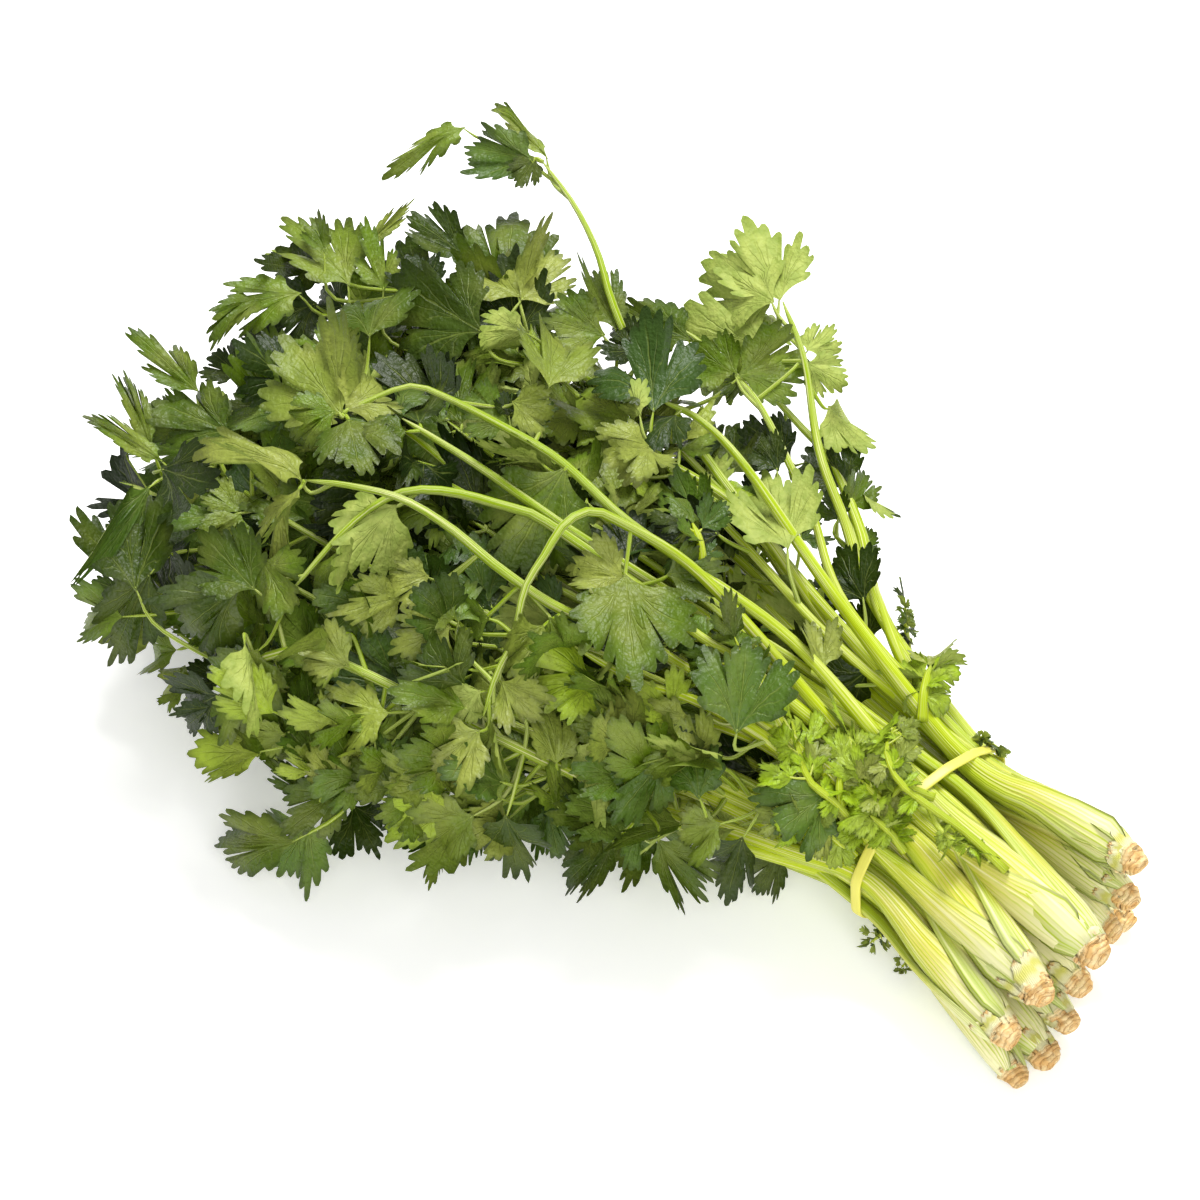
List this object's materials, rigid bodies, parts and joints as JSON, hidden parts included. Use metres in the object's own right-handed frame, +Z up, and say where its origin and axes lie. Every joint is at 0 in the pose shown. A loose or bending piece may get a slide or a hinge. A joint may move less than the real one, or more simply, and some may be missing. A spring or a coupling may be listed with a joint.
{
  "type": "coriander bunch",
  "caption": "Bunch of fresh coriander plants lying down: trimmed roots and pale crowns at one end, one rubber band round the stalks, and lobed, toothed leaves spreading at the other.",
  "frame": {"origin": "middle of the bunch's outline, on the surface that it lies on", "axes": "+X along the bunch towards the trimmed roots, +Y across it, +Z up"},
  "size_m": [0.3848, 0.2548, 0.1161],
  "materials": {
    "crown": "moist cream-white plant neck that ends in a dry, knobbly tan root stub",
    "stalk": "fine-ribbed, slightly glossy yellow-green stalk, paler towards the root",
    "leaf": "thin soft leaf, satin dark green above and paler, matt green below",
    "rubber_band": "smooth stretched rubber, pale yellow-green"
  },
  "bodies": {
    "root": {"crown_01": "crown", "crown_02": "crown", "crown_03": "crown", "crown_04": "crown", "crown_05": "crown", "crown_06": "crown", "crown_07": "crown", "crown_08": "crown", "crown_09": "crown", "crown_10": "crown", "crown_11": "crown", "crown_12": "crown", "stalk_01": "stalk", "stalk_02": "stalk", "stalk_03": "stalk", "stalk_04": "stalk", "stalk_05": "stalk", "stalk_06": "stalk", "stalk_07": "stalk", "stalk_08": "stalk", "stalk_09": "stalk", "stalk_10": "stalk", "stalk_11": "stalk", "stalk_12": "stalk", "stalk_13": "stalk", "stalk_14": "stalk", "stalk_15": "stalk", "stalk_16": "stalk", "stalk_17": "stalk", "stalk_18": "stalk", "stalk_19": "stalk", "stalk_20": "stalk", "stalk_21": "stalk", "stalk_22": "stalk", "stalk_23": "stalk", "stalk_24": "stalk", "leaf_01": "leaf", "leaf_02": "leaf", "leaf_03": "leaf", "leaf_04": "leaf", "leaf_05": "leaf", "leaf_06": "leaf", "leaf_07": "leaf", "leaf_09": "leaf", "leaf_10": "leaf", "leaf_11": "leaf", "leaf_12": "leaf", "leaf_13": "leaf", "leaf_14": "leaf", "leaf_15": "leaf", "leaf_16": "leaf", "leaf_17": "leaf", "leaf_18": "leaf", "leaf_19": "leaf", "leaf_20": "leaf", "leaf_21": "leaf", "leaf_22": "leaf", "leaf_23": "leaf", "leaf_24": "leaf", "rubber_band": "rubber_band"}
  },
  "joints": []
}
